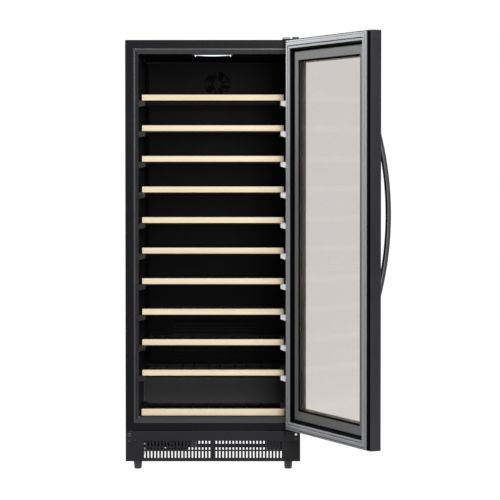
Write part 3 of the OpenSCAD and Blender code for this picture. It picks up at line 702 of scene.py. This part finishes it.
copper_look = grained("copper_pipe", (0.6, 0.3, 0.18), 0.35, grain=1200, depth=0.00001,
                      cloud=25, colour_change=0.3, roughness_change=0.15, metallic=1.0)
pipes = soft_copy("refrigerant_pipes", "copper_pipes", 0.0002)
dress(pipes, copper_look, node="refrigerant_pipes")

# ---- Door frame ----
# Four lengths of one dark anodised aluminium section, mitred at the corners and joined inside.
# The outer front corner is round, and the section is open at the back for the inner ring.
door_low, door_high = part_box("door_frame")
half_door = wrap_high.x
door_middle = (door_low.z + door_high.z) / 2
half_height = (door_high.z - door_low.z) / 2
open_angle = math.radians(-hinge["range_deg"][0])


def door_ring(name, section):
    """Runs a section round the closed door."""
    return mitred_ring(name, section, half_door, half_height, door_middle)


def swing_open(piece):
    """Turns a piece drawn on the closed door about the hinge pin to where the door stands."""
    hold(piece)
    bpy.context.scene.cursor.location = (pin.x, pin.y, 0)
    bpy.ops.object.origin_set(type="ORIGIN_CURSOR")
    piece.rotation_euler = (0, 0, open_angle)
    bpy.ops.object.transform_apply(location=True, rotation=True, scale=True)


# The door's sections are in mm, as distances in from its edge and forward of the cabinet.
frame_rear = 17.9
frame_front = 56.4
frame_wall = 2
rear_flange = 12
stile = 50
glass_face = 44.5
corner_r = 3.5
front_corner = [(corner_r - corner_r * math.sin(math.radians(turn)),
                 frame_front - corner_r + corner_r * math.cos(math.radians(turn)))
                for turn in range(0, 91, 18)]
frame_section = [(0, frame_rear), (rear_flange, frame_rear), (rear_flange, frame_rear + frame_wall),
                 (frame_wall, frame_rear + frame_wall), (frame_wall, frame_front - frame_wall),
                 (stile - frame_wall, frame_front - frame_wall), (stile - frame_wall, glass_face),
                 (stile, glass_face), (stile, frame_front)] + front_corner
door_frame = door_ring("door_frame_section", frame_section)
soften(door_frame, 0.0003, segments=2, angle=40)
swing_open(door_frame)

anodised = grained("dark_anodised", (0.042, 0.042, 0.045), 0.38, grain=1600, depth=0.00001,
                   cloud=12, colour_change=0.1, roughness_change=0.06, metallic=0.85)
dress(door_frame, anodised, node="door_frame")
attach(door_frame, "door")
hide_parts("door_frame")

# ---- Inner ring of the door ----
# A black moulded ring snaps into the back of the metal frame. The gasket lies on its flat
# outer band, and its broad sloping ledge covers the edge of the glass and ends in a thin edge.
# The channel for the gasket's rib is left out, because nothing of it is seen.
inner_section = [(3, 7), (36, 7), (36, 19.3), (42.4, 19.3), (72, 18.2), (74, 18.5),
                 (78.5, 21.4), (78.5, 22.5), (33.5, 22.5), (33.5, 17.9), (3, 17.9)]
inner_ring = door_ring("door_inner_ring", inner_section)
soften(inner_ring, 0.0005, segments=2, angle=40)
# The ring is one black plastic. It is drawn nearly without light, as painted shade in the groove by
# the gasket and at the edge by the glass, and the ledge a lighter grey, as a painted highlight
# where light falls on it.
ring_black_and_shade = grained("inner_ring_black_and_painted_shade", (0.0012, 0.0012, 0.0014), 0.5, grain=1000,
                       depth=0.00003, colour_change=0.15, specular=0.025)
lit_ledge_look = grained("ledge_painted_highlight", (0.075, 0.0735, 0.075), 0.42, grain=1000, depth=0.00002,
                     colour_change=0.08, specular=0.4)
dress(inner_ring, ring_black_and_shade, lit_ledge_look, node="door_liner")
ledge_start = 0.0424
ledge_end = 0.072
ledge_front = -0.0195


def on_ledge(place):
    """The broad sloping face round the glass, between the gasket's band and the inner edge."""
    across = half_door - abs(place.x)
    upright = half_height - abs(place.z - door_middle)
    return ledge_start < min(across, upright) < ledge_end and place.y > ledge_front


# The ledge's faces get the lighter grey, as painted highlight.
paint_faces(inner_ring, 1, on_ledge)
swing_open(inner_ring)
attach(inner_ring, "door")
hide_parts("door_liner")

# ---- Gasket ----
# A soft grey bellows runs round the door with its corners welded. A flat magnet pocket stands
# between two folds. The hidden rib that holds it in the inner ring is left out too.
gasket_section = [(4.5, 7), (4.5, 3.6), (6.5, 2.9), (9.4, 2.6), (10.4, 4.0), (11.6, 4.0),
                  (12.2, 1.0), (13.3, 0.5), (21.2, 0.5), (21.9, 1.0), (22.5, 5.6), (24.3, 5.6),
                  (25.1, 2.6), (29, 2.9), (31.5, 3.6), (31.5, 7)]
gasket = door_ring("door_gasket", gasket_section)
soften(gasket, 0.0003, segments=2, angle=28)
swing_open(gasket)
rubber = grained("gasket_rubber", (0.19, 0.193, 0.203), 0.55, grain=700, depth=0.00003,
                 colour_change=0.08, roughness_change=0.08, specular=0.15)
dress(gasket, rubber, node="gasket")
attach(gasket, "door")
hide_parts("gasket")

# ---- Glass ----
# Two panes of toughened glass with a faint warm tint stand in the frame, kept apart by a dark
# spacer bar and sealed round their edges. A low index keeps what they mirror faint.
pane_ior = 1.06


def tinted_glass(name, colour):
    """Clear glass that takes its tint from its base colour, with the faintest smears."""
    finish = group_finish(name, grain_group, 0, {
        "Colour": (*colour, 1), "Colour Change": 0.01,
        "Roughness": 0.004, "Roughness Change": 0.004,
        "Grain Per Metre": 60, "Cloud Per Metre": 4})
    shader = finish.node_tree.nodes["Principled BSDF"]
    shader.inputs["Transmission Weight"].default_value = 1
    shader.inputs["IOR"].default_value = pane_ior
    return finish


glass = tinted_glass("warm_tinted_glass", (0.79, 0.768, 0.755))
for node in ("outer_pane", "inner_pane"):
    finish_node(node, glass)

spacer_look = grained("spacer_bar", (0.1, 0.09, 0.083), 0.45, grain=1500, depth=0.00001,
                      colour_change=0.1, specular=0.3)
spacer_bar = soft_copy("spacer", "glass_spacer", 0.0004)
dress(spacer_bar, spacer_look, node="spacer")

# ---- Printed border ----
# Two coats of ceramic ink are fired onto the outer pane, from the frame in to the clear part
# of the glass: black outside over a pale warm first coat. They hide the spacer and the seal.
border = door_ring("printed_border", [(50.4, 44.75), (81, 44.75), (81, 44.52), (50.4, 44.52)])
first_coat = grained("ceramic_ink", (0.88, 0.83, 0.79), 0.4, grain=2500, depth=0.00001,
                     colour_change=0.08, specular=0.3)
show_coat = grained("black_ceramic_ink", (0.008, 0.008, 0.009), 0.2, grain=2500,
                    depth=0.00001, colour_change=0.08, specular=0.4)
dress(border, first_coat, show_coat)
show_face = -0.0447
paint_faces(border, 1, lambda place: place.y < show_face)
swing_open(border)
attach(border, "door")

# ---- Handle ----
# One bar of aluminium with soft corners is bent to a long bow, cut flush at both ends and
# screwed to the free stile from behind. It is brushed along its length and anodised dark.
bow_r = 0.947
bow_rise = 0.0455
bow_x = -half_door + 0.026
bow_z = 0.88
bar_w = 0.016
bar_t = 0.015
bar_corner_r = 0.0045
half_bow = math.radians(18.5)
door_face_y = -frame_front / 1000
bow_centre_y = door_face_y - bow_rise + bow_r
bow_centre = (bow_x, bow_centre_y, bow_z)
put_down()
bpy.ops.mesh.primitive_plane_add(size=1, location=(bow_x, bow_centre_y - bow_r + bar_t / 2, bow_z))
handle = bpy.context.object
handle.name = "bow_handle"
handle.data.name = "bow_handle"
handle.scale = (bar_w, bar_t, 1)
bpy.ops.object.transform_apply(location=True, rotation=True, scale=True)
take_up(handle)
bpy.ops.mesh.select_all(action="SELECT")
bpy.context.tool_settings.mesh_select_mode = (True, False, False)
bpy.ops.mesh.bevel(offset=bar_corner_r, segments=5, affect="VERTICES")
bpy.ops.mesh.select_all(action="SELECT")
bpy.ops.transform.rotate(value=-half_bow, orient_axis="X", center_override=bow_centre)
bpy.ops.mesh.spin(steps=120, angle=2 * half_bow, center=bow_centre, axis=(1, 0, 0))
bpy.ops.mesh.select_all(action="SELECT")
bpy.ops.mesh.remove_doubles(threshold=0.000001)
bpy.ops.mesh.normals_make_consistent(inside=False)
bpy.ops.mesh.bisect(plane_co=(0, door_face_y, 0), plane_no=(0, 1, 0),
                    use_fill=True, clear_outer=True)
bpy.ops.mesh.select_all(action="SELECT")
bpy.ops.mesh.normals_make_consistent(inside=False)
put_down()
smooth(handle, 40)
swing_open(handle)

line_group = new_group(
    "brushed_lines",
    [("Colour", "NodeSocketColor", (0.5, 0.5, 0.5, 1)),
     ("Colour Change", "NodeSocketFloat", 0.1),
     ("Roughness", "NodeSocketFloat", 0.3),
     ("Roughness Change", "NodeSocketFloat", 0.1),
     ("Lines Per Metre", "NodeSocketVector", (1500, 1500, 8))],
    [("Colour", "NodeSocketColor"),
     ("Roughness", "NodeSocketFloat"),
     ("Height", "NodeSocketFloat")])


def fill_line_group(group):
    """Marks of an abrasive belt: long thin streaks that change the colour and gloss a little."""
    nodes = group.nodes
    links = group.links
    where = nodes.new("ShaderNodeTexCoord")
    pull = nodes.new("ShaderNodeVectorMath")
    pull.operation = "MULTIPLY"
    streak = nodes.new("ShaderNodeTexNoise")
    streak.inputs["Scale"].default_value = 1
    streak.inputs["Detail"].default_value = 3
    links.new(where.outputs["Object"], pull.inputs[0])
    links.new(nodes["Group Input"].outputs["Lines Per Metre"], pull.inputs[1])
    links.new(pull.outputs["Vector"], streak.inputs["Vector"])
    centred = sums(group, "SUBTRACT", streak.outputs["Fac"], 0.5)
    vary(group, sums(group, "MULTIPLY", centred, 2))
    links.new(streak.outputs["Fac"], nodes["Group Output"].inputs["Height"])


fill_line_group(line_group)


def brushed(name, colour, roughness, lines):
    """A metal brushed one way. Lines are counts per metre along X, Y and Z."""
    finish = group_finish(name, line_group, 1, {
        "Colour": (*colour, 1), "Colour Change": 0.15,
        "Roughness": roughness, "Roughness Change": 0.1,
        "Lines Per Metre": lines})
    raise_grain(finish, 0.00001)
    return finish


bow_metal = brushed("dark_brushed_bow", (0.065, 0.064, 0.065), 0.48, (1200, 1200, 6))
dress(handle, bow_metal, node="handle")
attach(handle, "door")
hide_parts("handle")

# ---- Hinge bushes ----
# White nylon blocks fill the frame's corners on the hinge side, each bored for its pin, with a
# short neck that shows round the pin.
nylon = grained("bush_nylon", (0.7, 0.69, 0.65), 0.4, grain=1200, depth=0.00002,
                colour_change=0.05)
bushes = soft_copy("hinge_bushes", "pin_bushes", 0.0003)
dress(bushes, nylon, node="hinge_bushes")

# ---- Levelling feet ----
# Each foot is a black moulded cone on a threaded steel stud, screwed into the weld nut of a
# runner and turned by hand to level the cabinet.
foot_look = grained("foot_plastic", (0.012, 0.012, 0.013), 0.45, grain=900, depth=0.00004,
                    colour_change=0.15)
stud_start = 0.0277
for corner in ("front_left", "front_right", "rear_left", "rear_right"):
    foot = soft_copy("foot_" + corner, "levelling_foot_" + corner, 0.0007, segments=3)
    dress(foot, foot_look, spangle, node="foot_" + corner)
    paint_faces(foot, 1, lambda place: place.z > stud_start)

# ---- Timber fronts of the racks ----
# A strip of pale beech with its long edges rounded over closes the front of every rack. It is
# planed, matt varnished and screwed to the rack's steel strip from behind.
timber = bpy.data.materials.new("beech_strip")
timber.use_nodes = True


def fill_timber(tree):
    """Straight beech grain along X: growth bands, fine fibre, and short dark flecks."""
    nodes = tree.nodes
    links = tree.links
    shader = nodes["Principled BSDF"]
    where = nodes.new("ShaderNodeTexCoord")
    band_map = nodes.new("ShaderNodeMapping")
    band_map.inputs["Scale"].default_value = (0.9, 55, 60)
    band_map.inputs["Rotation"].default_value = (0.35, 0.002, 0.004)
    band = nodes.new("ShaderNodeTexNoise")
    band.inputs["Scale"].default_value = 1
    band.inputs["Detail"].default_value = 4
    band.inputs["Distortion"].default_value = 0.6
    fibre_map = nodes.new("ShaderNodeMapping")
    fibre_map.inputs["Scale"].default_value = (14, 1400, 1400)
    fibre = nodes.new("ShaderNodeTexNoise")
    fibre.inputs["Scale"].default_value = 1
    fibre.inputs["Detail"].default_value = 3
    fleck_map = nodes.new("ShaderNodeMapping")
    fleck_map.inputs["Scale"].default_value = (160, 900, 900)
    fleck = nodes.new("ShaderNodeTexNoise")
    fleck.inputs["Scale"].default_value = 1
    fleck.inputs["Detail"].default_value = 1
    for mapping, noise in ((band_map, band), (fibre_map, fibre), (fleck_map, fleck)):
        links.new(where.outputs["Object"], mapping.inputs["Vector"])
        links.new(mapping.outputs["Vector"], noise.inputs["Vector"])
    ramp = nodes.new("ShaderNodeValToRGB")
    ramp.color_ramp.elements[0].position = 0.3
    ramp.color_ramp.elements[0].color = (0.71, 0.575, 0.39, 1)
    ramp.color_ramp.elements[1].position = 0.72
    ramp.color_ramp.elements[1].color = (0.88, 0.765, 0.545, 1)
    links.new(band.outputs["Fac"], ramp.inputs["Fac"])
    shade = nodes.new("ShaderNodeHueSaturation")
    fibre_tone = sums(tree, "MULTIPLY", fibre.outputs["Fac"], 0.16)
    spot = sums(tree, "GREATER_THAN", fleck.outputs["Fac"], 0.66)
    spot_tone = sums(tree, "MULTIPLY", spot, 0.09)
    lifted = sums(tree, "ADD", fibre_tone, 0.92)
    tone = sums(tree, "SUBTRACT", lifted, spot_tone)
    links.new(ramp.outputs["Color"], shade.inputs["Color"])
    links.new(tone, shade.inputs["Value"])
    links.new(shade.outputs["Color"], shader.inputs["Base Color"])
    dull = sums(tree, "MULTIPLY", band.outputs["Fac"], 0.15)
    links.new(sums(tree, "ADD", dull, 0.42), shader.inputs["Roughness"])
    bump = nodes.new("ShaderNodeBump")
    bump.inputs["Distance"].default_value = 0.00006
    links.new(fibre.outputs["Fac"], bump.inputs["Height"])
    links.new(bump.outputs["Normal"], shader.inputs["Normal"])


fill_timber(timber.node_tree)
round_over = 0.002
planed_off = 0.002
low_planed_off = 0.0008


def timber_strip(name, node, planed):
    """A strip of the node's size with its top planed down a little, its long edges rounded over
    and its ends eased."""
    low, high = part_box(node)
    high.z -= planed
    strip = block(name, low, high)
    take_up(strip)
    pick_edges(lambda a, b: abs(a.x - b.x) > 0.1)
    bpy.ops.mesh.bevel(offset=round_over, segments=4, affect="EDGES")
    put_down()
    soften(strip, 0.0006, segments=2, angle=40)
    dress(strip, timber)
    return strip


def moved_copy(piece, name, step):
    """Another of the same piece, with its own mesh, set off by a step."""
    twin = bpy.data.objects.new(name, piece.data.copy())
    twin.data.name = name
    bpy.context.scene.collection.objects.link(twin)
    twin.location = step
    hold(twin)
    bpy.ops.object.transform_apply(location=True, rotation=True, scale=True)
    return twin


top_strip = timber_strip("timber_front_01", "rack_front_01", planed_off)
low_strip = timber_strip("timber_front_11", "rack_front_11", low_planed_off)
strips = {"01": top_strip, "11": low_strip}
top_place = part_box("rack_front_01")[0]
for number in range(2, 11):
    mark = f"{number:02d}"
    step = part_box("rack_front_" + mark)[0] - top_place
    strips[mark] = moved_copy(top_strip, "timber_front_" + mark, step)
for mark, strip in strips.items():
    finish_node("rack_front_" + mark, timber)
    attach(strip, "rack_" + mark)
    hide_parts("rack_front_" + mark)

# ---- Sliding frames of the racks ----
# Steel wires for the bottles are welded over cross rods and powder coated black. At each side
# they end in a steel rail like the channel on the wall that it slides in: plain on the right, and
# on the left drawn dark as painted shade.
wire_coat = grained("rack_wire_coat", (0.006, 0.006, 0.007), 0.38, grain=900, depth=0.00003,
                    colour_change=0.15, specular=0.15)
rail_width = 0.0135
rail_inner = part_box("rack_frame_01")[1].x - rail_width
for number in range(1, 12):
    mark = f"{number:02d}"
    wires = soft_copy("rack_frame_" + mark, "wire_frame_" + mark, 0.0002)
    dress(wires, wire_coat, rail_look, shaded_rail_look, node="rack_frame_" + mark)
    paint_faces(wires, 1, lambda place: place.x > rail_inner)
    # The left rails get the same painted shade as the left channels.
    paint_faces(wires, 2, lambda place: place.x < -rail_inner)

# ---- Studio ----
# A wide white floor and an even white surround, lit by one large soft lamp from the front
# right, a small strong one from the upper left and a weak one low on the left.
bpy.context.scene.view_settings.view_transform = "Standard"


def seen_white(tree):
    """1 for rays from the camera, off a gloss or through glass, and 0 for rays that light."""
    path = tree.nodes.new("ShaderNodeLightPath")
    direct = sums(tree, "ADD", path.outputs["Is Camera Ray"], path.outputs["Is Glossy Ray"])
    any_seen = sums(tree, "ADD", direct, path.outputs["Is Transmission Ray"])
    return sums(tree, "MINIMUM", any_seen, 1)


surround = bpy.data.worlds.new("white_surround")
bpy.context.scene.world = surround
surround.use_nodes = True
surround_tree = surround.node_tree
sky = surround_tree.nodes["Background"]
sky.inputs["Color"].default_value = (1, 1, 1, 1)
ambient = 0.1
white = 1.02
rise = sums(surround_tree, "MULTIPLY", seen_white(surround_tree), white - ambient)
surround_tree.links.new(sums(surround_tree, "ADD", rise, ambient), sky.inputs["Strength"])

floor_span = 30
floor_gap = 0.0005
put_down()
bpy.ops.mesh.primitive_plane_add(size=floor_span, location=(0, 0, -floor_gap))
studio_floor = bpy.context.object
studio_floor.name = "studio_floor"
floor_look = bpy.data.materials.new("white_floor")
floor_look.use_nodes = True
floor_tree = floor_look.node_tree
floor_output = floor_tree.nodes["Material Output"]
floor_shader = floor_tree.nodes["Principled BSDF"]
floor_shader.inputs["Base Color"].default_value = (0.16, 0.16, 0.16, 1)
floor_shader.inputs["Roughness"].default_value = 0.9
floor_glow = floor_tree.nodes.new("ShaderNodeEmission")
floor_glow.inputs["Color"].default_value = (1, 1, 1, 1)
floor_glow.inputs["Strength"].default_value = 1.96
glow_share = 0.5
floor_mix = floor_tree.nodes.new("ShaderNodeMixShader")
floor_seen = sums(floor_tree, "MULTIPLY", seen_white(floor_tree), glow_share)
floor_tree.links.new(floor_seen, floor_mix.inputs["Fac"])
floor_tree.links.new(floor_shader.outputs["BSDF"], floor_mix.inputs[1])
floor_tree.links.new(floor_glow.outputs["Emission"], floor_mix.inputs[2])
floor_tree.links.new(floor_mix.outputs["Shader"], floor_output.inputs["Surface"])
dress(studio_floor, floor_look)


def soft_lamp(name, place, aim, width, height, power):
    """A rectangular lamp behind a diffuser that faces a point on the cooler."""
    lamp_data = bpy.data.lights.new(name, "AREA")
    lamp_data.shape = "RECTANGLE"
    lamp_data.size = width
    lamp_data.size_y = height
    lamp_data.energy = power
    lamp = bpy.data.objects.new(name, lamp_data)
    lamp.location = place
    lamp.rotation_euler = (Vector(aim) - Vector(place)).to_track_quat("-Z", "Y").to_euler()
    bpy.context.scene.collection.objects.link(lamp)


soft_lamp("front_lamp", (1.2, -3.4, 1.9), (0, 0, 0.9), 1.8, 1.8, 144)
soft_lamp("side_lamp", (-2.8, -2.2, 1.2), (0.2, 0, 0.9), 0.8, 1.4, 10)
soft_lamp("top_lamp", (-1.35, 0.1, 2.45), (0.35, -0.3, 0.9), 0.35, 0.35, 125)


def dark_card(name, place, aim, width, height):
    """A black card on a stand that only shows in reflections, as a studio uses on metal."""
    put_down()
    turn = (Vector(aim) - Vector(place)).to_track_quat("Z", "Y").to_euler()
    bpy.ops.mesh.primitive_plane_add(size=1, location=place, rotation=turn)
    card = bpy.context.object
    card.name = name
    card.scale = (width, height, 1)
    card.visible_camera = False
    card.visible_diffuse = False
    card.visible_transmission = False
    card.visible_shadow = False
    card_look = bpy.data.materials.new(name)
    card_look.use_nodes = True
    card_shader = card_look.node_tree.nodes["Principled BSDF"]
    card_shader.inputs["Base Color"].default_value = (0.01, 0.01, 0.01, 1)
    card_shader.inputs["Specular IOR Level"].default_value = 0
    dress(card, card_look)


dark_card("right_card", (2.6, -2.6, 0.9), (0, 0, 0.8), 2.4, 3.0)
